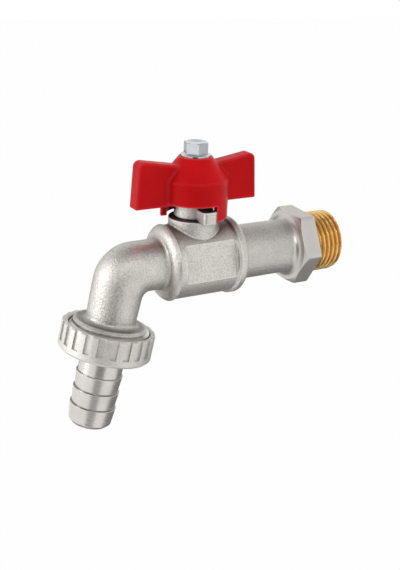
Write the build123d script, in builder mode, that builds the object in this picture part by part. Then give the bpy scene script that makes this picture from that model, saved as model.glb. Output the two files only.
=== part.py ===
from build123d import *

import os
from math import cos, isclose, radians, sin, tan

# Hose tap: a ball valve with a butterfly handle and a hose union. Lengths in mm, angles in degrees.
# +X runs along the inlet towards the wall and +Z up the stem. The origin is the middle of the
# shoulder where the inlet thread starts.

# Fits
thread_clearance = 0.05
running_clearance = 0.05
loose_clearance = 0.15
stop_clearance = 0.2

# Inlet connector
inlet_thread_d = 20.955
inlet_thread_length = 11.6
inlet_thread_lead = 1.0
inlet_bore_d = 13.0
hex_across_flats = 24.0
hex_length = 6.4
hex_chamfer_angle = 30.0
hex_turn = 3.0
tube_d = 18.4
flare_radius = 2.4

# Ball and seats
stem_reach = 43.2
ball_d = 17.0
ball_port_d = 10.5
ball_port_edge = 0.4
ball_room = 0.75
slot_width = 3.2
slot_floor = 0.6
seat_thickness = 3.25

# Ball chamber
chamber_wall = 3.05
chamber_end = 14.7
band_width = 3.7
band_rise = 0.7
band_round = 1.6
collar_end = 10.1
collar_width = 2.5
collar_rim = 0.2
collar_rise = 0.35
collar_round = 4.0
panel_inset = 1.9
panel_wall = 1.4
panel_tilt = 11.0
panel_round = 1.2

# Neck, elbow and spout
elbow_reach = 25.6
spout_lean = 12.4
bend_radius = 10.35
outer_bend_radius = 5.4
neck_d = 16.7
neck_fillet = 1.0
spout_end_d = 16.3
waterway_d = 11.0
spout_length = 23.75
outlet_length = 6.0
outlet_fillet = 1.6
outlet_edge = 0.7
outlet_thread_d = 26.441
outlet_thread_depth = 1.162

# Stem boss and stop lugs
boss_d = 16.5
boss_rise = 2.5
boss_edge = 0.5
boss_fillet = 0.7
gland_d = 12.9
gland_rise = 6.6
gland_groove_depth = 0.6
gland_groove_width = 0.55
lug_width = 4.6
lug_span = 23.0
lug_height = 4.2
lug_drop = 0.2
lug_corner = 1.1
lug_edge = 0.5

# Stem and its seals
stem_d = 8.6
stem_collar_d = 10.4
stem_collar_thickness = 1.2
stem_collar_room = 0.4
washer_thickness = 0.8
blade_width = 7.4
key_across_flats = 6.8
ring_groove_depth = 1.1
ring_groove_width = 1.5
ring_first_height = 1.6
ring_pitch = 3.2

# Handle
hub_d = 21.8
hub_gap = 1.4
hub_height = 7.4
cone_height = 7.0
cone_top_d = 10.6
hub_edge = 0.8
skirt_wall = 2.0
skirt_depth = 4.2
cap_thickness = 2.2
clamp_gap = 0.2
tab_gap = 0.35
wing_span = 44.2
wing_thickness = 4.7
wing_drop = 0.95
wing_height = 15.4
wing_draft = 4.0
wing_rise_angle = 8.8
wing_corner = 2.0
wing_edge = 0.6
wing_root = 1.0
root_share = 0.85

# Handle screw
screw_d = 5.0
screw_length = 12.0
screw_hole_room = 1.0
screw_flange_d = 9.6
screw_flange_thickness = 1.0
screw_head_across_flats = 7.0
screw_head_turn = 14.0
screw_head_height = 4.5
screw_dish_depth = 0.5
screw_head_chamfer_angle = 25.0

# Union nut
nut_wall = 1.9
nut_length = 9.0
nut_lip = 1.5
nut_flutes = 22
nut_flute_width = 2.3
nut_flute_depth = 0.75
nut_ring_width = 2.6
nut_top_edge = 0.4
nut_bottom_edge = 0.8

# Hose tail and gasket
gasket_thickness = 1.5
tail_flange_thickness = 1.5
tail_bore_d = 10.5
tail_d = 14.5
tail_neck_length = 7.1
barb_d = 15.4
barb_root_d = 14.2
barb_pitch = 5.55
barb_count = 3
tail_end_length = 6.8
tail_end_round = 1.2

# Radii and places worked out from the sizes above
ball_r = ball_d / 2
cavity_r = ball_r + ball_room
seat_r = cavity_r - loose_clearance
seat_front = stem_collar_d / 2 + loose_clearance
seat_back = seat_front + seat_thickness
chamber_r = cavity_r + chamber_wall
band_r = chamber_r + band_rise
collar_r = chamber_r + collar_rise
neck_r = neck_d / 2
spout_r = spout_end_d / 2
collar_start = -collar_end - collar_width
ledge_z = chamber_r + boss_rise
lug_top = ledge_z - lug_drop + lug_height
hub_bottom = lug_top + hub_gap
hub_r = hub_d / 2
cone_bottom = hub_bottom + hub_height
handle_top = cone_bottom + cone_height
ceiling_z = hub_bottom + skirt_depth
stem_top = handle_top - cap_thickness - clamp_gap
collar_z = ball_r + stem_collar_room
washer_z = collar_z + stem_collar_thickness
gland_floor = washer_z + washer_thickness
ring_heights = [gland_floor + ring_first_height + index * ring_pitch for index in range(2)]
groove_r = stem_d / 2 - ring_groove_depth
stem_bore_r = stem_d / 2 + running_clearance
outlet_core_r = outlet_thread_d / 2 - outlet_thread_depth
nut_bore_r = outlet_thread_d / 2 + loose_clearance
nut_r = nut_bore_r + nut_wall
flange_start = spout_length + gasket_thickness
lip_start = flange_start + tail_flange_thickness
nut_bottom = lip_start + nut_lip
nut_top = nut_bottom - nut_length
first_barb = nut_bottom + tail_neck_length
tail_end = first_barb + (barb_count - 1) * barb_pitch + tail_end_length

# Planes and axes: across the ball's middle, along the stem, and along the leaning spout
stem_x = -stem_reach
flow_plane = Plane(origin=(stem_x, 0, 0), x_dir=(1, 0, 0), z_dir=(0, -1, 0))
flow_axis = Axis((stem_x, 0, 0), (1, 0, 0))
elbow_corner = Vector(stem_x - elbow_reach, 0, 0)
spout_dir = Vector(-sin(radians(spout_lean)), 0, -cos(radians(spout_lean)))
spout_step = Vector(spout_dir.X, spout_dir.Z)
spout_side = Plane(origin=elbow_corner, x_dir=spout_dir, z_dir=(0, 1, 0))
spout_axis = Axis(elbow_corner, spout_dir)
stem_axis = Axis((stem_x, 0, 0), (0, 0, 1))
bend_angle = 90 - spout_lean
bend_start = bend_radius * tan(radians(bend_angle / 2))
outer_bend_start = outer_bend_radius * tan(radians(bend_angle / 2))
neck_end = -elbow_reach + bend_start
elbow_plane = Plane(origin=elbow_corner, x_dir=(1, 0, 0), z_dir=(0, -1, 0))
bend_axis = Axis(elbow_corner + Vector(bend_start, 0, -bend_radius), (0, -1, 0))
outer_bend_axis = Axis(elbow_corner + Vector(outer_bend_start, 0, -outer_bend_radius), (0, -1, 0))


def level(z):
    """The horizontal plane at height z, centred on the stem."""
    return Plane(origin=(stem_x, 0, z))


def across_neck(s):
    """The plane square to the neck, at the distance s before the elbow's corner."""
    return Plane(origin=elbow_corner + Vector(s, 0, 0), x_dir=(0, 1, 0), z_dir=(-1, 0, 0))


def across_spout(s):
    """The plane square to the spout, at the distance s from the elbow's corner."""
    return Plane(origin=elbow_corner + spout_dir * s, x_dir=(0, 1, 0), z_dir=spout_dir)


def across_inlet(x):
    """The plane square to the inlet at the distance x from its shoulder."""
    return Plane(origin=(x, 0, 0), x_dir=(0, 1, 0), z_dir=(1, 0, 0))


# Stop lugs: the two ends of one bar across the boss
with BuildPart() as lug_bar:
    with BuildSketch(level(ledge_z - lug_drop)):
        RectangleRounded(lug_width, lug_span, lug_corner)
    extrude(amount=lug_height)
    fillet(lug_bar.edges().group_by(Axis.Z)[0] + lug_bar.edges().group_by(Axis.Z)[-1], radius=lug_edge)

# Valve body: chamber, boss, lugs, elbow and spout in one forging
with BuildPart() as valve_body:
    band_start = chamber_end - band_width
    band_end = chamber_end - band_round
    dome_start = -collar_end - collar_rim
    neck_start = collar_start - neck_fillet
    with BuildSketch(flow_plane):
        with BuildLine():
            Line((chamber_end, 0), (chamber_end, band_r - band_round))
            RadiusArc((chamber_end, band_r - band_round), (band_end, band_r), -band_round)
            Polyline(
                (band_end, band_r),
                (band_start + band_rise, band_r),
                (band_start, chamber_r),
                (-collar_end, chamber_r),
                (-collar_end, collar_r - collar_rim),
                (dome_start, collar_r),
            )
            RadiusArc((dome_start, collar_r), (collar_start, neck_r + neck_fillet), -collar_round)
            RadiusArc((collar_start, neck_r + neck_fillet), (neck_start, neck_r), neck_fillet)
            Polyline((neck_start, neck_r), (neck_end, neck_r), (neck_end, 0), (chamber_end, 0))
        make_face()
    revolve(axis=flow_axis)
    # A flat panel on each side of the chamber, with scooped ends
    panel_start = panel_inset - collar_end
    panel_length = band_start - panel_start
    for side in (1, -1):
        panel_normal = Vector(0, side * cos(radians(panel_tilt)), sin(radians(panel_tilt)))
        panel_up = Vector(1, 0, 0).cross(panel_normal)
        panel_place = Vector(stem_x + panel_start, 0, 0) + panel_normal * (cavity_r + panel_wall)
        with BuildSketch(Plane(origin=panel_place, x_dir=(1, 0, 0), z_dir=panel_up)):
            with Locations((panel_length / 2, chamber_r / 2)):
                RectangleRounded(panel_length, chamber_r, panel_round)
        extrude(amount=chamber_r, both=True, mode=Mode.SUBTRACT)
    # Stem boss
    with BuildSketch(level(0)):
        Circle(boss_d / 2)
    extrude(amount=ledge_z)
    fillet(valve_body.edges().filter_by(GeomType.CIRCLE).group_by(Axis.Z)[-1], radius=boss_edge)
    round_faces = valve_body.faces().filter_by(GeomType.CYLINDER)
    boss_wall = round_faces.filter_by(lambda face: isclose(face.radius, boss_d / 2))
    plain_types = (GeomType.LINE, GeomType.CIRCLE)
    boss_foot = boss_wall.edges().filter_by(lambda edge: edge.geom_type not in plain_types)
    fillet(boss_foot, radius=boss_fillet)
    # Gland with a groove at its foot, and the lugs beside it
    with BuildSketch(level(0)):
        Circle(gland_d / 2 - gland_groove_depth)
    extrude(amount=ledge_z + gland_rise)
    with BuildSketch(level(ledge_z + gland_groove_width)):
        Circle(gland_d / 2)
    extrude(amount=gland_rise - gland_groove_width)
    add(lug_bar.part)
    # Elbow: its back bends tighter than its throat, with a flat-sided filling between the two
    with BuildSketch(elbow_plane):
        with BuildLine():
            Line((bend_start, 0), (outer_bend_start, 0))
            RadiusArc((outer_bend_start, 0), spout_step * outer_bend_start, -outer_bend_radius)
            Line(spout_step * outer_bend_start, spout_step * bend_start)
            RadiusArc(spout_step * bend_start, (bend_start, 0), bend_radius)
        make_face()
    extrude(amount=neck_r, both=True)
    with BuildSketch(across_neck(bend_start)):
        Circle(neck_r)
        Rectangle(neck_d, neck_r, align=(Align.CENTER, Align.MIN), mode=Mode.INTERSECT)
    revolve(axis=bend_axis, revolution_arc=bend_angle)
    with BuildSketch(across_neck(outer_bend_start)):
        Circle(neck_r)
        Rectangle(neck_d, neck_r, align=(Align.CENTER, Align.MAX), mode=Mode.INTERSECT)
    revolve(axis=outer_bend_axis, revolution_arc=bend_angle)
    for straight_start in (across_neck(bend_start), across_spout(outer_bend_start)):
        with BuildSketch(straight_start):
            Circle(neck_r)
            Rectangle(neck_d, neck_r, align=(Align.CENTER, Align.MAX), mode=Mode.INTERSECT)
        extrude(amount=bend_start - outer_bend_start)
    # Tapering spout with the outlet's shoulder and thread core
    shoulder = spout_length - outlet_length
    fillet_start = shoulder - outlet_fillet
    with BuildSketch(spout_side):
        with BuildLine():
            Polyline((fillet_start, 0), (bend_start, 0), (bend_start, neck_r), (fillet_start, spout_r))
            RadiusArc((fillet_start, spout_r), (shoulder, spout_r + outlet_fillet), -outlet_fillet)
            Polyline(
                (shoulder, spout_r + outlet_fillet),
                (shoulder, outlet_core_r - outlet_edge),
                (shoulder + outlet_edge, outlet_core_r),
                (spout_length - outlet_edge, outlet_core_r),
                (spout_length, outlet_core_r - outlet_edge),
                (spout_length, 0),
                (fillet_start, 0),
            )
        make_face()
    revolve(axis=spout_axis)
    # Waterway: ball cavity, neck, elbow and spout
    cavity_depth = seat_back + loose_clearance
    with BuildSketch(across_inlet(stem_x - cavity_depth)):
        Circle(cavity_r)
    extrude(amount=cavity_depth + chamber_end, mode=Mode.SUBTRACT)
    with BuildSketch(across_neck(bend_start)):
        Circle(waterway_d / 2)
    extrude(amount=neck_end, mode=Mode.SUBTRACT)
    with BuildSketch(across_neck(bend_start)):
        Circle(waterway_d / 2)
    revolve(axis=bend_axis, revolution_arc=bend_angle, mode=Mode.SUBTRACT)
    with BuildSketch(across_spout(bend_start)):
        Circle(waterway_d / 2)
    extrude(amount=spout_length - bend_start, mode=Mode.SUBTRACT)
    # Stem bore and the pocket for the stem's collar
    with BuildSketch(level(0)):
        Circle(stem_bore_r)
    extrude(amount=ledge_z + gland_rise, mode=Mode.SUBTRACT)
    with BuildSketch(level(0)):
        Circle(stem_collar_d / 2 + loose_clearance)
    extrude(amount=gland_floor, mode=Mode.SUBTRACT)
valve_body.part.label = "valve_body"

# Inlet connector: hexagon, plain tube and thread, turned from bar
with BuildPart() as inlet_connector:
    spigot_end = chamber_end - stem_reach
    flare_start = -hex_length - flare_radius
    hex_r = hex_across_flats / 2
    hex_corner_r = hex_r / cos(radians(30))
    chamfer_run = (hex_corner_r - hex_r) * tan(radians(hex_chamfer_angle))
    with BuildSketch(across_inlet(-hex_length)):
        RegularPolygon(hex_r, 6, major_radius=False, rotation=-hex_turn)
    extrude(amount=hex_length)
    with BuildSketch(Plane.XZ):
        with BuildLine():
            Polyline(
                (-hex_length, 0),
                (-hex_length, hex_r),
                (-hex_length + chamfer_run, hex_corner_r),
                (0, hex_corner_r),
                (0, 0),
                close=True,
            )
        make_face()
    revolve(axis=Axis.X, mode=Mode.INTERSECT)
    with BuildSketch(Plane.XZ):
        with BuildLine():
            Polyline(
                (-hex_length, 0),
                (spigot_end, 0),
                (spigot_end, tube_d / 2),
                (flare_start, tube_d / 2),
            )
            RadiusArc((flare_start, tube_d / 2), (-hex_length, tube_d / 2 + flare_radius), -flare_radius)
            Line((-hex_length, tube_d / 2 + flare_radius), (-hex_length, 0))
        make_face()
    revolve(axis=Axis.X)
    with BuildSketch(across_inlet(stem_x + seat_back)):
        Circle(cavity_r - thread_clearance)
    extrude(amount=chamber_end - seat_back)
    with BuildSketch(across_inlet(0)):
        Circle(inlet_thread_d / 2)
    extrude(amount=inlet_thread_length)
    chamfer(inlet_connector.edges().group_by(Axis.X)[-1], length=inlet_thread_lead)
    with BuildSketch(across_inlet(stem_x + seat_back)):
        Circle(inlet_bore_d / 2)
    extrude(amount=stem_reach - seat_back + inlet_thread_length, mode=Mode.SUBTRACT)
inlet_connector.part.label = "inlet_connector"

# Ball with its port along the flow and a drive slot across the top
with BuildPart() as ball:
    with BuildSketch(flow_plane) as ball_profile:
        Circle(ball_r)
        with Locations((0, (ball_port_d + ball_d) / 2)):
            Rectangle(ball_d, ball_d, mode=Mode.INTERSECT)
        fillet(ball_profile.vertices(), radius=ball_port_edge)
    revolve(axis=flow_axis)
    with BuildSketch(level(ball_port_d / 2 + slot_floor)):
        Rectangle(slot_width, ball_d)
    extrude(amount=ball_r, mode=Mode.SUBTRACT)
ball.part.label = "ball"

# Seats: rings with a cup that fits the ball, one on each side
seats = {}
for seat_name, direction in (("inlet_seat", 1), ("outlet_seat", -1)):
    with BuildPart() as seat:
        with BuildSketch(flow_plane):
            with Locations((direction * (seat_front + seat_back) / 2, (seat_r + ball_port_d / 2) / 2)):
                Rectangle(seat_thickness, seat_r - ball_port_d / 2)
            Circle(ball_r + running_clearance, mode=Mode.SUBTRACT)
        revolve(axis=flow_axis)
    seat.part.label = seat_name
    seats[seat_name] = seat.part

# Stem: blade, collar, sealed shank, keyed top and screw hole
with BuildPart() as stem:
    groove_points = []
    for ring_z in ring_heights:
        groove_points += [
            (stem_d / 2, ring_z - ring_groove_width / 2),
            (groove_r, ring_z - ring_groove_width / 2),
            (groove_r, ring_z + ring_groove_width / 2),
            (stem_d / 2, ring_z + ring_groove_width / 2),
        ]
    with BuildSketch(flow_plane):
        with BuildLine():
            Polyline(
                (0, collar_z),
                (stem_collar_d / 2, collar_z),
                (stem_collar_d / 2, washer_z),
                (stem_d / 2, washer_z),
                *groove_points,
                (stem_d / 2, stem_top),
                (0, stem_top),
                close=True,
            )
        make_face()
    revolve(axis=stem_axis)
    with BuildSketch(level(ball_port_d / 2 + slot_floor + loose_clearance)):
        Rectangle(slot_width - 2 * loose_clearance, blade_width)
    extrude(until=Until.NEXT)
    # Two flats key the handle and leave a shoulder that it rests on
    for side in (1, -1):
        with BuildSketch(level(ceiling_z)):
            with Locations((side * (key_across_flats + stem_d) / 2, 0)):
                Rectangle(stem_d, 2 * stem_d)
        extrude(amount=stem_top - ceiling_z, mode=Mode.SUBTRACT)
    with BuildSketch(level(handle_top - screw_length - screw_hole_room)):
        Circle(screw_d / 2 + thread_clearance)
    extrude(amount=screw_length + screw_hole_room, mode=Mode.SUBTRACT)
stem.part.label = "stem"

# Thrust washer under the stem's collar seat
with BuildPart() as stem_thrust_washer:
    with BuildSketch(level(washer_z)):
        Circle(stem_collar_d / 2)
        Circle(stem_d / 2 + running_clearance, mode=Mode.SUBTRACT)
    extrude(amount=washer_thickness)
stem_thrust_washer.part.label = "stem_thrust_washer"

# O-rings in the stem's grooves
rings = {}
ring_section_r = (stem_d / 2 - groove_r) / 2
for ring_name, ring_z in zip(("stem_o_ring_lower", "stem_o_ring_upper"), ring_heights):
    with BuildPart() as ring:
        with Locations((stem_x, 0, ring_z)):
            Torus(groove_r + ring_section_r, ring_section_r)
    ring.part.label = ring_name
    rings[ring_name] = ring.part

# Butterfly handle: hub and cone, hollow skirt, two wings and two stop tabs
with BuildPart() as handle:
    wing_bottom = hub_bottom - wing_drop
    wing_top = wing_bottom + wing_height
    wing_lean = wing_height * tan(radians(wing_draft))
    wing_fall = wing_span / 2 * tan(radians(wing_rise_angle))
    with BuildSketch(flow_plane) as wing_outline:
        with BuildLine():
            Polyline(
                (-wing_span / 2, wing_bottom),
                (wing_span / 2, wing_bottom),
                (wing_span / 2 - wing_lean, wing_top),
                (0, wing_top - wing_fall),
                (-wing_span / 2 + wing_lean, wing_top),
                close=True,
            )
        make_face()
        fillet(wing_outline.vertices().group_by(Axis.Y)[-1], radius=wing_corner)
        fillet(wing_outline.vertices().group_by(Axis.Y)[0], radius=wing_edge)
    extrude(amount=wing_thickness / 2, both=True)
    fillet(handle.edges().filter_by(Plane.XZ), radius=wing_edge)
    with BuildSketch(flow_plane) as hub_profile:
        with BuildLine():
            Polyline(
                (0, hub_bottom),
                (hub_r, hub_bottom),
                (hub_r, cone_bottom),
                (cone_top_d / 2, handle_top),
                (0, handle_top),
                close=True,
            )
        make_face()
        hub_rim = hub_profile.vertices().filter_by_position(Axis.Y, cone_bottom, cone_bottom)
        fillet(hub_rim, radius=hub_edge)
    revolve(axis=stem_axis)
    # The root's fillet stays within the cone that is left above the wing
    cone_slope = (hub_r - cone_top_d / 2) / cone_height
    wing_slope = tan(radians(wing_rise_angle))
    wing_valley = wing_top - wing_fall
    root_r = (hub_r - (wing_valley - cone_bottom) * cone_slope) / (1 + wing_slope * cone_slope)
    root_room = handle_top - wing_valley - wing_slope * root_r
    wing_roots = handle.edges().filter_by(Axis.Z) + handle.edges().filter_by(GeomType.HYPERBOLA)
    fillet(wing_roots, radius=min(wing_root, root_share * root_room))
    # The tabs fill the quarters between the lugs, less the stop clearance at each end
    stop_offset = lug_width / 2 + stop_clearance
    tab_bottom = ledge_z + tab_gap
    for side in (1, -1):
        with BuildSketch(level(tab_bottom)):
            Circle(hub_r)
            with Locations((side * (stop_offset + hub_d / 2), -side * (stop_offset + hub_d / 2))):
                Rectangle(hub_d, hub_d, mode=Mode.INTERSECT)
        extrude(amount=ceiling_z - tab_bottom)
    with BuildSketch(level(ledge_z)):
        Circle(hub_r - skirt_wall)
    extrude(amount=ceiling_z - ledge_z, mode=Mode.SUBTRACT)
    # Keyed socket for the stem and the screw's hole
    with BuildSketch(level(ceiling_z)):
        Circle(stem_d / 2 + loose_clearance)
        Rectangle(key_across_flats + 2 * loose_clearance, 2 * stem_d, mode=Mode.INTERSECT)
    extrude(amount=handle_top - cap_thickness - ceiling_z, mode=Mode.SUBTRACT)
    with BuildSketch(level(ceiling_z)):
        Circle(screw_d / 2 + loose_clearance)
    extrude(amount=handle_top - ceiling_z, mode=Mode.SUBTRACT)
handle.part.label = "handle"

# Hexagon flange screw with a dished head
with BuildPart() as handle_screw:
    head_plane = Plane(origin=(stem_x, 0, handle_top), x_dir=(1, 0, 0), z_dir=(0, -1, 0))
    head_r = screw_head_across_flats / 2
    head_corner_r = head_r / cos(radians(30))
    with BuildSketch(level(handle_top)):
        RegularPolygon(head_r, 6, major_radius=False, rotation=screw_head_turn)
    extrude(amount=screw_head_height)
    head_fall = (head_corner_r - head_r) * tan(radians(screw_head_chamfer_angle))
    with BuildSketch(head_plane):
        with BuildLine():
            Polyline(
                (0, 0),
                (head_corner_r, 0),
                (head_corner_r, screw_head_height - head_fall),
                (head_r, screw_head_height),
                (head_r / 2, screw_head_height - screw_dish_depth),
                (0, screw_head_height - screw_dish_depth),
                close=True,
            )
        make_face()
    revolve(axis=stem_axis, mode=Mode.INTERSECT)
    with BuildSketch(head_plane):
        with BuildLine():
            Polyline(
                (0, -screw_length),
                (screw_d / 2, -screw_length),
                (screw_d / 2, 0),
                (screw_flange_d / 2, 0),
                (screw_flange_d / 2, screw_flange_thickness / 2),
                (head_r, screw_flange_thickness),
                (0, screw_flange_thickness),
                close=True,
            )
        make_face()
    revolve(axis=stem_axis)
handle_screw.part.label = "handle_screw"

# Union nut with grip flutes open at the top
with BuildPart() as union_nut:
    lip_hole_r = barb_d / 2 + 2 * loose_clearance
    with BuildSketch(spout_side):
        with BuildLine():
            Polyline(
                (nut_top, nut_bore_r + nut_top_edge),
                (nut_top, nut_r - nut_top_edge),
                (nut_top + nut_top_edge, nut_r),
                (nut_bottom - nut_bottom_edge, nut_r),
                (nut_bottom, nut_r - nut_bottom_edge),
                (nut_bottom, lip_hole_r),
                (lip_start, lip_hole_r),
                (lip_start, nut_bore_r),
                (nut_top + nut_top_edge, nut_bore_r),
                close=True,
            )
        make_face()
    revolve(axis=spout_axis)
    with BuildSketch(across_spout(nut_top)):
        with PolarLocations(nut_r, nut_flutes):
            Rectangle(2 * nut_flute_depth, nut_flute_width)
    extrude(amount=nut_length - nut_ring_width, mode=Mode.SUBTRACT)
union_nut.part.label = "union_nut"

# Hose tail: flange, plain neck and barbs that narrow towards the outlet
with BuildPart() as hose_tail:
    barb_points = []
    for index in range(barb_count):
        barb_start = first_barb + index * barb_pitch
        barb_points.append((barb_start, barb_d / 2))
        barb_points.append((barb_start + barb_pitch, barb_root_d / 2))
    barb_points[-1] = (tail_end - tail_end_round, barb_root_d / 2)
    with BuildSketch(spout_side):
        with BuildLine():
            Polyline(
                (flange_start, tail_bore_d / 2),
                (flange_start, nut_bore_r - 2 * loose_clearance),
                (lip_start, nut_bore_r - 2 * loose_clearance),
                (lip_start, tail_d / 2),
                (first_barb, tail_d / 2),
                *barb_points,
                (tail_end, barb_root_d / 2 - tail_end_round),
                (tail_end, tail_bore_d / 2),
                close=True,
            )
        make_face()
    revolve(axis=spout_axis)
hose_tail.part.label = "hose_tail"

# Flat gasket between the spout and the tail
with BuildPart() as tail_gasket:
    with BuildSketch(across_spout(spout_length)):
        Circle(outlet_core_r)
        Circle(waterway_d / 2 + loose_clearance, mode=Mode.SUBTRACT)
    extrude(amount=gasket_thickness)
tail_gasket.part.label = "tail_gasket"

os.makedirs("parts", exist_ok=True)
export_step(valve_body.part, "parts/valve_body.step")
export_step(inlet_connector.part, "parts/inlet_connector.step")
export_step(ball.part, "parts/ball.step")
for seat_name, seat_part in seats.items():
    export_step(seat_part, f"parts/{seat_name}.step")
export_step(stem.part, "parts/stem.step")
export_step(stem_thrust_washer.part, "parts/stem_thrust_washer.step")
for ring_name, ring_part in rings.items():
    export_step(ring_part, f"parts/{ring_name}.step")
export_step(handle.part, "parts/handle.step")
export_step(handle_screw.part, "parts/handle_screw.step")
export_step(union_nut.part, "parts/union_nut.step")
export_step(hose_tail.part, "parts/hose_tail.step")
export_step(tail_gasket.part, "parts/tail_gasket.step")
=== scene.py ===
from math import ceil, cos, floor, pi, radians, sin, tan

import bpy
from mathutils import Matrix, Quaternion, Vector


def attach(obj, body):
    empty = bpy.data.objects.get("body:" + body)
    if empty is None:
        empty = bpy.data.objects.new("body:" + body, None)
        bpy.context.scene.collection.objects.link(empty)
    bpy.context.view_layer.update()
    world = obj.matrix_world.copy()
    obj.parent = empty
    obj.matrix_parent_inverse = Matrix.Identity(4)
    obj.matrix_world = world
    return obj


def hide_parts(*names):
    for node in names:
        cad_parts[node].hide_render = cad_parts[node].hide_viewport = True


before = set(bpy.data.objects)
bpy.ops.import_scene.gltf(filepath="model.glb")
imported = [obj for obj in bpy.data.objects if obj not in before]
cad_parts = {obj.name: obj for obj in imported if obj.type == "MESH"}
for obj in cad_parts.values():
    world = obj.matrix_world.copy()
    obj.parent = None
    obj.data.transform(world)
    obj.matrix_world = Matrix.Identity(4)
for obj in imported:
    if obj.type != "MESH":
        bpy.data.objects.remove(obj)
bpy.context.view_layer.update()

# Hose tap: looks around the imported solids. Lengths in metres, angles in degrees.

MM = 0.001

# Camera, taken from the photograph
SENSOR = 36.0
LENS = 59.37
VIEW_AZIMUTH = -30.42
VIEW_ELEVATION = 20.5
VIEW_ROLL = 2.29
VIEW_DISTANCE = 310.54 * MM
VIEW_OFFSET = (2.67 * MM, -8.74 * MM)
VIEW_NEAREST = 10 * MM

# Places and directions on the tap
STEM_PLACE = Vector((-43.2 * MM, 0, 0))
ELBOW_CORNER = Vector((-68.8 * MM, 0, 0))
SPOUT_LEAN = 12.4
SPOUT_DIR = Vector((-sin(radians(SPOUT_LEAN)), 0, -cos(radians(SPOUT_LEAN))))
INLET_AXIS = Vector((1, 0, 0))
STEM_AXIS = Vector((0, 0, 1))

# Threads. The flat is the share of the full height that is cut off at the crest and at the root.
THREAD_PITCH = 1.814 * MM
THREAD_DEPTH = 1.162 * MM
THREAD_FLAT = 1 / 6

# Inlet connector
INLET_BORE_R = 6.5 * MM
INLET_LENGTH = 11.6 * MM
INLET_CREST_R = 10.4775 * MM
INLET_LEAD = 1.0 * MM
RELIEF_WIDTH = 0.7 * MM
HEX_SIDES = 6
HEX_SECTOR = 360 / HEX_SIDES
HEX_R = 12.0 * MM
HEX_LENGTH = 6.4 * MM
HEX_TURN = 3.0
HEX_CHAMFER = 30.0
HEX_EDGE = 0.14 * MM
TUBE_R = 9.2 * MM
FLARE_RADIUS = 2.4 * MM
SPIGOT_END = -34.6 * MM
SECTOR_STEPS = 24
THREAD_STEPS = 14
FLARE_STEPS = 8
CONNECTOR_SHARP = 28

# Outlet thread, under the nut. Its section goes along the axis in pitches and up in shares of its
# height, and its ends rise from the start height over the run-out, in turns.
OUTLET_CORE_R = 12.0585 * MM
OUTLET_CREST_R = 13.19 * MM
OUTLET_SINK = 0.1 * MM
OUTLET_THREAD_FROM = 18.9 * MM
OUTLET_THREAD_TO = 22.7 * MM
OUTLET_SECTION = (
    (-0.46, 0), (-0.30, 0.45), (-0.14, 0.95), (0, 1.0), (0.14, 0.95), (0.30, 0.45), (0.46, 0),
)
OUTLET_START_HEIGHT = 0.15
OUTLET_RUN_OUT = 1 / 3
OUTLET_TURN_STEPS = 72
OUTLET_SHARP = 40

# Samples of the shader nodes that trace rays
BEVEL_SAMPLES = 6
OCCLUSION_SAMPLES = 8

# Tones of the turned nickel: its colour, and the share of it in the duller clouds
NICKEL = (0.73, 0.705, 0.67)
BRIGHT_NICKEL = (0.84, 0.82, 0.785)
DULL_NICKEL = (0.68, 0.65, 0.615)
CLOUD_SHARE = 0.92

# How far grain wears the plating: the depth at which it wears most, and how much that is
WORN_DEPTH = 0.10 * MM
WORN_MOST = 0.6

# Floor and room. The veil is the share of plain white that the camera sees on the floor, and the
# room's stops go from the horizon to its ceiling.
FLOOR_Z = -300 * MM
FLOOR_SIZE = 8.0
FLOOR_GREY = 0.86
FLOOR_ROUGHNESS = 0.9
FLOOR_VEIL = 0.97
ROOM_LIGHT = 0.62
ROOM_STOPS = ((0.0, 1.0), (0.35, 0.96), (0.62, 0.80), (0.85, 0.46), (1.0, 0.28))
WHITE = (1, 1, 1, 1)
CAMERA_RAYS = ("Is Camera Ray",)
MIRROR_RAYS = ("Is Glossy Ray", "Is Transmission Ray")

# Cards: name, middle from the stem, width and height, grey
CARDS = (
    ("low_card", (0.07, 0.05, -0.13), (0.26, 0.26), 0.25),
    ("front_card", (-0.253, -0.431, -0.03), (0.38, 0.38), 0.03),
    ("near_card", (-0.147, -0.19, -0.14), (0.15, 0.14), 0.50),
    ("right_card", (0.36, -0.26, -0.10), (0.10, 0.20), 0.60),
    ("back_card", (0.0432, 0.25, 0.02), (0.16, 0.07), 0.10),
    ("left_card", (-0.0268, 0.30, -0.09), (0.10, 0.12), 0.10),
)
CARD_ROUGHNESS = 1.0
SHEET_SHARP = 30

# Lamps: name, place, width and height, energy, whether metal mirrors it
LAMPS = (
    ("key", (-0.78, 0.16, 0.20), (0.30, 0.60), 1.9, True),
    ("front", (-0.25, -0.68, 0.50), (0.45, 0.25), 0.75, True),
    ("fill", (0.45, -0.65, 0.35), (0.30, 0.50), 0.9, False),
    ("top", (0.05, 0.10, 0.75), (0.5, 0.4), 1.0, False),
)


def mesh_object(name, vertices, faces, sharp_angle):
    """A new object with smooth faces that meet in sharp edges above sharp_angle."""
    mesh = bpy.data.meshes.new(name)
    mesh.from_pydata(vertices, [], faces)
    mesh.validate()
    mesh.update()
    mesh.shade_smooth()
    mesh.set_sharp_from_angle(angle=radians(sharp_angle))
    piece = bpy.data.objects.new(name, mesh)
    bpy.context.scene.collection.objects.link(piece)
    return piece


# Materials


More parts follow.
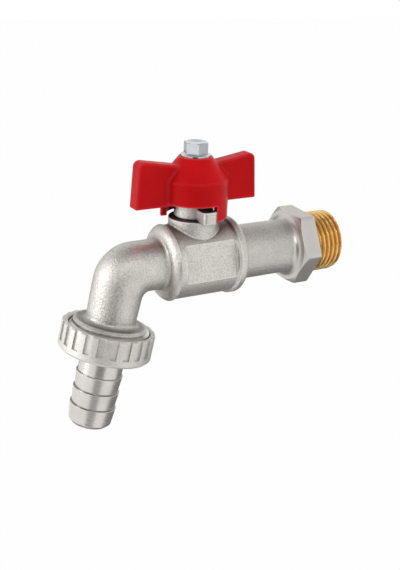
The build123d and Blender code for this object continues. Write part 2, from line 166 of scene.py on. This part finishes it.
class Look:
    """A procedural material with a few helpers to chain its nodes."""

    def __init__(self, name, **sockets):
        self.material = bpy.data.materials.new(name)
        self.material.use_nodes = True
        self.nodes = self.material.node_tree.nodes
        self.links = self.material.node_tree.links
        self.shader = self.nodes["Principled BSDF"]
        for socket, value in sockets.items():
            self.shader.inputs[socket.replace("_", " ")].default_value = value
        self.place = self.nodes.new("ShaderNodeTexCoord").outputs["Object"]

    def link(self, source, target):
        self.links.new(source, target)

    def noise(self, size, detail=2.0, stretch=None):
        """Noise whose features are about size metres wide; stretch scales the axes apart."""
        node = self.nodes.new("ShaderNodeTexNoise")
        node.inputs["Scale"].default_value = 1 / size
        node.inputs["Detail"].default_value = detail
        place = self.place
        if stretch:
            mapping = self.nodes.new("ShaderNodeMapping")
            mapping.inputs["Scale"].default_value = stretch
            self.link(place, mapping.inputs["Vector"])
            place = mapping.outputs["Vector"]
        self.link(place, node.inputs["Vector"])
        return node.outputs["Fac"]

    def rings(self, axis, size, detail=2.0):
        """Noise that only changes along axis: the fine rings that a lathe leaves."""
        along = self.nodes.new("ShaderNodeVectorMath")
        along.operation = "DOT_PRODUCT"
        along.inputs[1].default_value = axis
        self.link(self.place, along.inputs[0])
        node = self.nodes.new("ShaderNodeTexNoise")
        node.noise_dimensions = "1D"
        node.inputs["Scale"].default_value = 1 / size
        node.inputs["Detail"].default_value = detail
        self.link(along.outputs["Value"], node.inputs["W"])
        return node.outputs["Fac"]

    def spread(self, source, low, high, start=0.35, end=0.65):
        """source between start and end, mapped to the range from low to high."""
        node = self.nodes.new("ShaderNodeMapRange")
        node.inputs["From Min"].default_value = start
        node.inputs["From Max"].default_value = end
        node.inputs["To Min"].default_value = low
        node.inputs["To Max"].default_value = high
        self.link(source, node.inputs["Value"])
        return node.outputs["Result"]

    def blend(self, factor, first, second):
        """first where factor is 0 and second where it is 1. Either is a colour or a socket."""
        node = self.nodes.new("ShaderNodeMix")
        node.data_type = "RGBA"
        self.link(factor, node.inputs["Factor"])
        for socket, colour in ((node.inputs[6], first), (node.inputs[7], second)):
            if isinstance(colour, tuple):
                socket.default_value = (*colour, 1)
            else:
                self.link(colour, socket)
        return node.outputs[2]

    def mottle(self, source, first, second):
        """Patches of two colours that follow a noise."""
        return self.blend(self.spread(source, low=0, high=1), first, second)

    def product(self, first, second):
        node = self.nodes.new("ShaderNodeMath")
        node.operation = "MULTIPLY"
        self.link(first, node.inputs[0])
        self.link(second, node.inputs[1])
        return node.outputs["Value"]

    def soft_normal(self, radius):
        """The normal of the surface with its edges rounded by radius."""
        node = self.nodes.new("ShaderNodeBevel")
        node.samples = BEVEL_SAMPLES
        node.inputs["Radius"].default_value = radius
        return node.outputs["Normal"]

    def edges(self, radius, start=0.02, end=0.25):
        """1 along the edges of the solid and 0 away from them."""
        dot = self.nodes.new("ShaderNodeVectorMath")
        dot.operation = "DOT_PRODUCT"
        self.link(self.soft_normal(radius), dot.inputs[0])
        self.link(self.nodes.new("ShaderNodeNewGeometry").outputs["Normal"], dot.inputs[1])
        return self.spread(dot.outputs["Value"], low=1.0, high=0.0, start=1 - end, end=1 - start)

    def facing_up(self):
        """1 on slopes that face up and 0 on walls and undersides. Level tops stay in between."""
        split = self.nodes.new("ShaderNodeSeparateXYZ")
        geometry = self.nodes.new("ShaderNodeNewGeometry")
        self.link(geometry.outputs["Normal"], split.inputs["Vector"])
        slope = self.spread(split.outputs["Z"], low=0.0, high=1.0, start=0.15, end=0.75)
        level = self.spread(split.outputs["Z"], low=1.0, high=0.45, start=0.985, end=0.999)
        return self.product(slope, level)

    def crevices(self, distance, most=1.0, start=0.25, end=0.9):
        """Goes from most in tight corners to 0 in the open."""
        node = self.nodes.new("ShaderNodeAmbientOcclusion")
        node.samples = OCCLUSION_SAMPLES
        node.inputs["Distance"].default_value = distance
        return self.spread(node.outputs["AO"], most, 0.0, start, end)

    def relief(self, height, depth, normal=None):
        """The surface's normal, disturbed by height over depth metres."""
        node = self.nodes.new("ShaderNodeBump")
        node.inputs["Strength"].default_value = 1.0
        node.inputs["Distance"].default_value = depth
        self.link(height, node.inputs["Height"])
        if normal:
            self.link(normal, node.inputs["Normal"])
        return node.outputs["Normal"]

    def finish(self, colour, roughness, normal):
        self.link(colour, self.shader.inputs["Base Color"])
        self.link(roughness, self.shader.inputs["Roughness"])
        self.link(normal, self.shader.inputs["Normal"])
        return self.material


def forged_nickel():
    """Sand-blasted and plated, with painted shade on sloping tops under overhangs and in the
    corners, and a painted highlight along the edges.
    """
    dark, light = (0.73, 0.70, 0.66), (0.80, 0.775, 0.735)
    pitted, painted_edge_highlight = (0.46, 0.43, 0.40), (0.94, 0.92, 0.89)
    painted_shelter_shade, shade, painted_corner_shade = (0.09, 0.075, 0.065), (0.20, 0.18, 0.165), (0.05, 0.045, 0.04)
    look = Look("forged_nickel", Metallic=1.0)
    grain = look.noise(0.55 * MM, detail=3.0)
    pits = look.noise(0.35 * MM)
    clouds = look.noise(9 * MM, detail=3.0)
    colour = look.mottle(clouds, dark, light)
    hollows = look.spread(grain, low=0.75, high=0.0, start=0.25, end=0.62)
    colour = look.blend(hollows, colour, pitted)
    # Painted highlight: the edges are lightened.
    colour = look.blend(look.edges(0.4 * MM, start=0.002, end=0.012), colour, painted_edge_highlight)
    # Painted shade: slopes that face up under overhangs, such as under the handle, are darkened.
    for distance, start, end in ((11 * MM, 0.40, 0.93), (5 * MM, 0.25, 0.90)):
        sheltered = look.crevices(distance, start=start, end=end)
        colour = look.blend(look.product(sheltered, look.facing_up()), colour, painted_shelter_shade)
    # Painted shade in the corners: a wide soft band, then tight dark lines.
    colour = look.blend(look.crevices(4.5 * MM, most=0.75, start=0.40), colour, shade)
    colour = look.blend(look.crevices(0.9 * MM), colour, painted_corner_shade)
    roughness = look.spread(pits, low=0.36, high=0.50)
    normal = look.relief(clouds, 0.06 * MM, look.soft_normal(0.12 * MM))
    normal = look.relief(grain, 0.16 * MM, normal)
    return look.finish(colour, roughness, look.relief(pits, 0.08 * MM, normal))


def turned_nickel(name, axis, tone, rough, rings_depth, grain_depth, painted_corner_shade=1.0):
    """Lathe-turned and plated: rings_depth and grain_depth say how far its fine relief goes, and
    the last argument how much painted shade goes into its tight corners.
    """
    clouded = tuple(CLOUD_SHARE * level for level in tone)
    shaded, pitted = (0.50, 0.475, 0.45), (0.44, 0.42, 0.39)
    painted_edge_highlight, painted_corner_shade_tone = (0.94, 0.92, 0.90), (0.06, 0.055, 0.05)
    look = Look(name, Metallic=1.0)
    rings = look.rings(axis, 0.5 * MM, detail=3.0)
    clouds = look.noise(5 * MM)
    grain = look.noise(0.6 * MM, detail=3.0)
    colour = look.mottle(clouds, clouded, tone)
    furrows = look.spread(rings, low=0.20, high=0.0, start=0.30, end=0.60)
    colour = look.blend(furrows, colour, shaded)
    worn = min(grain_depth / WORN_DEPTH, 1) * WORN_MOST
    hollows = look.spread(grain, low=worn, high=0.0, start=0.30, end=0.55)
    colour = look.blend(hollows, colour, pitted)
    # Painted highlight: the edges are lightened.
    colour = look.blend(look.edges(0.2 * MM, start=0.004, end=0.08), colour, painted_edge_highlight)
    # Painted shade: tight corners are darkened.
    colour = look.blend(look.crevices(0.7 * MM, most=painted_corner_shade), colour, painted_corner_shade_tone)
    roughness = look.spread(rings, low=rough - 0.05, high=rough + 0.08)
    normal = look.relief(rings, rings_depth, look.soft_normal(0.12 * MM))
    return look.finish(colour, roughness, look.relief(grain, grain_depth, normal))


def bare_brass(name, axis):
    dark, light, painted_hollow_shade = (0.78, 0.48, 0.17), (0.90, 0.61, 0.26), (0.30, 0.14, 0.03)
    look = Look(name, Metallic=1.0)
    rings = look.rings(axis, 0.3 * MM)
    clouds = look.noise(4 * MM, detail=3.0)
    colour = look.mottle(clouds, dark, light)
    # Painted shade: the thread's hollows are darkened.
    colour = look.blend(look.crevices(1.0 * MM, most=0.5), colour, painted_hollow_shade)
    roughness = look.spread(rings, low=0.26, high=0.36)
    return look.finish(colour, roughness, look.relief(rings, 0.005 * MM))


def red_paint():
    dark, light = (0.50, 0.0025, 0.0045), (0.57, 0.0035, 0.006)
    painted_rim_highlight, shade = (0.80, 0.05, 0.06), (0.16, 0.003, 0.005)
    look = Look("red_paint", Specular_IOR_Level=0.1)
    peel = look.noise(0.9 * MM)
    clouds = look.noise(9 * MM)
    colour = look.mottle(clouds, dark, light)
    # Painted highlight along the rims, then painted shade in the corners.
    colour = look.blend(look.edges(1.0 * MM, start=0.003, end=0.05), colour, painted_rim_highlight)
    colour = look.blend(look.crevices(4 * MM, most=0.8), colour, shade)
    roughness = look.spread(look.noise(2 * MM), low=0.30, high=0.42)
    normal = look.relief(peel, 0.03 * MM, look.soft_normal(0.25 * MM))
    return look.finish(colour, roughness, normal)


def zinc_steel():
    dark, light = (0.60, 0.62, 0.64), (0.68, 0.70, 0.71)
    painted_edge_highlight, shade = (0.92, 0.92, 0.92), (0.10, 0.10, 0.11)
    look = Look("zinc_steel", Metallic=1.0)
    streaks = look.noise(0.8 * MM, stretch=(1, 1, 0.25))
    clouds = look.noise(4 * MM)
    colour = look.mottle(clouds, dark, light)
    # Painted highlight along the edges, and painted shade in the corners.
    colour = look.blend(look.edges(0.15 * MM), colour, painted_edge_highlight)
    colour = look.blend(look.crevices(1.0 * MM, most=0.9), colour, shade)
    roughness = look.spread(streaks, low=0.14, high=0.22)
    normal = look.relief(streaks, 0.004 * MM, look.soft_normal(0.1 * MM))
    return look.finish(colour, roughness, normal)


def polished_chrome():
    dark, light = (0.74, 0.75, 0.77), (0.82, 0.83, 0.84)
    look = Look("polished_chrome", Metallic=1.0)
    scuffs = look.noise(1.5 * MM, detail=4.0, stretch=(0.2, 1, 1))
    colour = look.mottle(scuffs, dark, light)
    roughness = look.spread(scuffs, low=0.05, high=0.12)
    return look.finish(colour, roughness, look.relief(scuffs, 0.002 * MM))


def seal_plastic():
    dark, light = (0.78, 0.78, 0.76), (0.86, 0.86, 0.84)
    look = Look("seal_plastic", Subsurface_Weight=0.1, Subsurface_Scale=0.5 * MM)
    clouds = look.noise(2 * MM, detail=3.0)
    colour = look.mottle(clouds, dark, light)
    roughness = look.spread(clouds, low=0.4, high=0.55)
    return look.finish(colour, roughness, look.relief(clouds, 0.01 * MM))


def seal_rubber():
    dark, light = (0.016, 0.016, 0.017), (0.030, 0.030, 0.031)
    look = Look("seal_rubber")
    grain = look.noise(0.3 * MM, detail=3.0)
    colour = look.mottle(grain, dark, light)
    roughness = look.spread(grain, low=0.5, high=0.7)
    return look.finish(colour, roughness, look.relief(grain, 0.02 * MM))


nickel_body = forged_nickel()
nickel_tail = turned_nickel(
    "satin_nickel", SPOUT_DIR, NICKEL, rough=0.28, rings_depth=0.002 * MM, grain_depth=0.002 * MM,
)
nickel_nut = turned_nickel(
    "knurled_nickel", SPOUT_DIR, BRIGHT_NICKEL, rough=0.56, rings_depth=0.02 * MM,
    grain_depth=0.05 * MM, painted_corner_shade=0.2,
)
nickel_tube = turned_nickel(
    "blasted_nickel", INLET_AXIS, DULL_NICKEL, rough=0.42, rings_depth=0.04 * MM,
    grain_depth=0.25 * MM,
)
nickel_hex = turned_nickel(
    "milled_nickel", INLET_AXIS, DULL_NICKEL, rough=0.36, rings_depth=0.008 * MM,
    grain_depth=0.01 * MM,
)
brass_thread = bare_brass("bare_brass_thread", INLET_AXIS)
brass_stem = bare_brass("bare_brass_stem", STEM_AXIS)
white_plastic = seal_plastic()
black_rubber = seal_rubber()

node_looks = {
    "valve_body": nickel_body,
    "hose_tail": nickel_tail,
    "union_nut": nickel_nut,
    "handle": red_paint(),
    "handle_screw": zinc_steel(),
    "ball": polished_chrome(),
    "stem": brass_stem,
    "inlet_seat": white_plastic,
    "outlet_seat": white_plastic,
    "stem_thrust_washer": white_plastic,
    "stem_o_ring_lower": black_rubber,
    "stem_o_ring_upper": black_rubber,
    "tail_gasket": black_rubber,
}
for node_name, material in node_looks.items():
    for material_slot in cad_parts[node_name].material_slots:
        material_slot.material = material


# Inlet connector with its cut thread, standing for the plain solid


def thread_height(turns):
    """Height of a rounded thread from 0 at the root to 1 at the crest, once per turn."""
    triangle = 1 - 2 * abs(turns - floor(turns) - 0.5)
    flank = min(max((triangle - THREAD_FLAT) / (1 - 2 * THREAD_FLAT), 0), 1)
    return 0.5 - 0.5 * cos(pi * flank)


def inlet_connector():
    """One closed skin of rows round the X axis: bore, thread, hexagon, flare and tube."""
    root_r = INLET_CREST_R - THREAD_DEPTH
    columns = HEX_SIDES * SECTOR_STEPS
    angles = [radians(HEX_TURN + HEX_SECTOR * step / SECTOR_STEPS) for step in range(columns)]
    corner_r = HEX_R / cos(radians(HEX_SECTOR / 2)) - HEX_EDGE

    def ring(x, r):
        return [(x, r * cos(angle), r * sin(angle)) for angle in angles]

    def thread_ring(x):
        row = []
        for angle in angles:
            r = root_r + THREAD_DEPTH * thread_height(x / THREAD_PITCH - angle / (2 * pi))
            r = min(r, INLET_CREST_R + INLET_LENGTH - INLET_LEAD - x)
            r = min(r, root_r + max(x - RELIEF_WIDTH, 0))
            row.append((x, r * cos(angle), r * sin(angle)))
        return row

    def hex_radius(angle, inset):
        away = (angle - radians(HEX_TURN)) % radians(HEX_SECTOR) - radians(HEX_SECTOR / 2)
        return min((HEX_R - inset) / cos(away), corner_r - inset)

    def chamfer_x(angle):
        return -HEX_LENGTH + (hex_radius(angle, 0) - HEX_R) * tan(radians(HEX_CHAMFER))

    def hex_ring(x_at, inset):
        row = []
        for angle in angles:
            r = hex_radius(angle, inset)
            row.append((x_at(angle), r * cos(angle), r * sin(angle)))
        return row

    rows = [ring(SPIGOT_END, INLET_BORE_R), ring(INLET_LENGTH, INLET_BORE_R)]
    first_brass = len(rows) - 1
    thread_rows = ceil(INLET_LENGTH / THREAD_PITCH * THREAD_STEPS)
    for step in range(thread_rows + 1):
        rows.append(thread_ring(INLET_LENGTH * (1 - step / thread_rows)))
    last_brass = len(rows) - 1
    rows.append(hex_ring(lambda angle: 0, HEX_EDGE))
    rows.append(hex_ring(lambda angle: -HEX_EDGE, 0))
    rows.append(hex_ring(chamfer_x, 0))
    rows.append(ring(-HEX_LENGTH, HEX_R))
    for step in range(FLARE_STEPS + 1):
        turn = pi / 2 * (1 - step / FLARE_STEPS)
        x = -HEX_LENGTH - FLARE_RADIUS * (1 - sin(turn))
        rows.append(ring(x, TUBE_R + FLARE_RADIUS * (1 - cos(turn))))
    last_hex = len(rows) - 1
    rows.append(ring(SPIGOT_END, TUBE_R))

    vertices = [point for row in rows for point in row]
    faces = []
    for index in range(len(rows)):
        here = index * columns
        above = (index + 1) % len(rows) * columns
        for column in range(columns):
            following = (column + 1) % columns
            faces.append((here + column, here + following, above + following, above + column))
    piece = mesh_object("threaded_inlet_connector", vertices, faces, CONNECTOR_SHARP)
    tube, hexagon, brass = range(3)
    for material in (nickel_tube, nickel_hex, brass_thread):
        piece.data.materials.append(material)
    for polygon in piece.data.polygons:
        row = polygon.index // columns
        if first_brass <= row < last_brass:
            polygon.material_index = brass
        elif last_brass <= row < last_hex:
            polygon.material_index = hexagon
        else:
            polygon.material_index = tube
    return piece


connector = inlet_connector()
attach(connector, "tap_body")
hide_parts("inlet_connector")


# Thread on the outlet, as one closed ridge wound round its core


def outlet_thread():
    side = Vector((0, 1, 0))
    front = SPOUT_DIR.cross(side)
    turns = (OUTLET_THREAD_TO - OUTLET_THREAD_FROM) / THREAD_PITCH
    steps = ceil(turns * OUTLET_TURN_STEPS)
    foot = OUTLET_CORE_R - OUTLET_SINK
    vertices = []
    for step in range(steps + 1):
        turn = 2 * pi * turns * step / steps
        rise = min(step, steps - step) / (OUTLET_TURN_STEPS * OUTLET_RUN_OUT)
        height = (OUTLET_CREST_R - foot) * min(OUTLET_START_HEIGHT + rise, 1)
        out = side * cos(turn) + front * sin(turn)
        middle = OUTLET_THREAD_FROM + THREAD_PITCH * turn / (2 * pi)
        for along, up in OUTLET_SECTION:
            place = ELBOW_CORNER + SPOUT_DIR * (middle + along * THREAD_PITCH)
            vertices.append(place + out * (foot + height * up))
    width = len(OUTLET_SECTION)
    last = steps * width
    faces = [tuple(range(width)), tuple(last + index for index in reversed(range(width)))]
    for low in range(0, last, width):
        high = low + width
        for index in range(width):
            following = (index + 1) % width
            faces.append((low + following, low + index, high + index, high + following))
    return mesh_object("outlet_thread", vertices, faces, OUTLET_SHARP)


ridge = outlet_thread()
ridge.data.materials.append(nickel_tail)
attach(ridge, "tap_body")


# Stage: floor, world, cards, lamps and camera


def sheet(name, middle, turn, size, material):
    """A flat rectangle of size, turned from the XY plane and moved to middle."""
    corners = []
    for across, up in ((-1, -1), (1, -1), (1, 1), (-1, 1)):
        corners.append(middle + turn @ Vector((across * size[0] / 2, up * size[1] / 2, 0)))
    piece = mesh_object(name, corners, [(0, 1, 2, 3)], SHEET_SHARP)
    piece.data.materials.append(material)
    return piece


def grey_material(name, grey, roughness):
    material = bpy.data.materials.new(name)
    material.use_nodes = True
    shader = material.node_tree.nodes["Principled BSDF"]
    shader.inputs["Base Color"].default_value = (grey, grey, grey, 1)
    shader.inputs["Roughness"].default_value = roughness
    return material


def light_path_mix(tree, rays, seen, other):
    """seen for the named rays, other for all the rest."""
    path = tree.nodes.new("ShaderNodeLightPath")
    total = path.outputs[rays[0]]
    for ray in rays[1:]:
        either = tree.nodes.new("ShaderNodeMath")
        either.operation = "MAXIMUM"
        tree.links.new(total, either.inputs[0])
        tree.links.new(path.outputs[ray], either.inputs[1])
        total = either.outputs["Value"]
    mix = tree.nodes.new("ShaderNodeMixShader")
    tree.links.new(total, mix.inputs["Fac"])
    tree.links.new(other, mix.inputs[1])
    tree.links.new(seen, mix.inputs[2])
    return mix.outputs["Shader"]


def floor_material():
    """Pale grey, with a white veil for the camera and for metal that mirrors the floor."""
    material = grey_material("pale_floor", FLOOR_GREY, FLOOR_ROUGHNESS)
    tree = material.node_tree
    grey = tree.nodes["Principled BSDF"].outputs["BSDF"]
    white = tree.nodes.new("ShaderNodeEmission")
    white.inputs["Strength"].default_value = 1.0
    veil = tree.nodes.new("ShaderNodeMixShader")
    veil.inputs["Fac"].default_value = FLOOR_VEIL
    tree.links.new(grey, veil.inputs[1])
    tree.links.new(white.outputs["Emission"], veil.inputs[2])
    surface = light_path_mix(tree, CAMERA_RAYS + MIRROR_RAYS, veil.outputs["Shader"], grey)
    tree.links.new(surface, tree.nodes["Material Output"].inputs["Surface"])
    return material


def studio_world():
    """White for the camera. Metal shows a white room that gets darker towards its ceiling."""
    world = bpy.data.worlds.new("studio")
    bpy.context.scene.world = world
    world.use_nodes = True
    tree = world.node_tree
    light = tree.nodes["Background"]
    light.inputs["Color"].default_value = WHITE
    light.inputs["Strength"].default_value = ROOM_LIGHT
    white = tree.nodes.new("ShaderNodeBackground")
    white.inputs["Color"].default_value = WHITE
    room = tree.nodes.new("ShaderNodeBackground")
    coords = tree.nodes.new("ShaderNodeTexCoord")
    height = tree.nodes.new("ShaderNodeSeparateXYZ")
    tree.links.new(coords.outputs["Generated"], height.inputs["Vector"])
    ramp = tree.nodes.new("ShaderNodeValToRGB")
    stops = ramp.color_ramp.elements
    stops.remove(stops[1])
    for index, (position, level) in enumerate(ROOM_STOPS):
        stop = stops.new(position) if index else stops[0]
        stop.position, stop.color = position, (level, level, level, 1)
    tree.links.new(height.outputs["Z"], ramp.inputs["Fac"])
    tree.links.new(ramp.outputs["Color"], room.inputs["Color"])
    plain, mirrored, seen = (node.outputs["Background"] for node in (light, room, white))
    unseen = light_path_mix(tree, MIRROR_RAYS, mirrored, plain)
    surface = light_path_mix(tree, CAMERA_RAYS, seen, unseen)
    tree.links.new(surface, tree.nodes["World Output"].inputs["Surface"])


def dark_card(name, offset, size, grey):
    """A card that faces the tap and that only its metal shows, for the dark bands in it."""
    middle = STEM_PLACE + Vector(offset)
    turn = (STEM_PLACE - middle).to_track_quat("Z", "Y")
    card = sheet(name, middle, turn, size, grey_material(name, grey, CARD_ROUGHNESS))
    card.visible_camera = False
    card.visible_diffuse = False
    card.visible_transmission = False
    card.visible_shadow = False


def lamp(name, place, size, energy, mirrored):
    """A soft box at place that faces the tap. Metal shows it where it is mirrored."""
    light = bpy.data.lights.new(name, "AREA")
    light.shape = "RECTANGLE"
    light.size, light.size_y = size
    light.energy = energy
    holder = bpy.data.objects.new(name, light)
    holder.location = place
    holder.rotation_euler = (STEM_PLACE - Vector(place)).to_track_quat("-Z", "Y").to_euler()
    holder.visible_glossy = mirrored
    bpy.context.scene.collection.objects.link(holder)


def photo_camera():
    azimuth, elevation = radians(VIEW_AZIMUTH), radians(VIEW_ELEVATION)
    roll = radians(VIEW_ROLL)
    back = Vector((sin(azimuth) * cos(elevation), -cos(azimuth) * cos(elevation), sin(elevation)))
    level = Vector((cos(azimuth), sin(azimuth), 0))
    right = level * cos(roll) + back.cross(level) * sin(roll)
    up = back.cross(right)
    camera = bpy.data.objects.new("camera", bpy.data.cameras.new("camera"))
    camera.data.lens = LENS
    camera.data.sensor_fit = "VERTICAL"
    camera.data.sensor_height = SENSOR
    camera.data.clip_start = VIEW_NEAREST
    camera.matrix_world = Matrix((right, up, back)).transposed().to_4x4()
    shift = right * VIEW_OFFSET[0] + up * VIEW_OFFSET[1]
    camera.location = STEM_PLACE + back * VIEW_DISTANCE + shift
    bpy.context.scene.collection.objects.link(camera)
    bpy.context.scene.camera = camera


ground = sheet(
    "floor", Vector((0, 0, FLOOR_Z)), Quaternion(), (FLOOR_SIZE, FLOOR_SIZE), floor_material(),
)
studio_world()
for card_values in CARDS:
    dark_card(*card_values)
for lamp_values in LAMPS:
    lamp(*lamp_values)
photo_camera()
bpy.context.scene.view_settings.view_transform = "Standard"
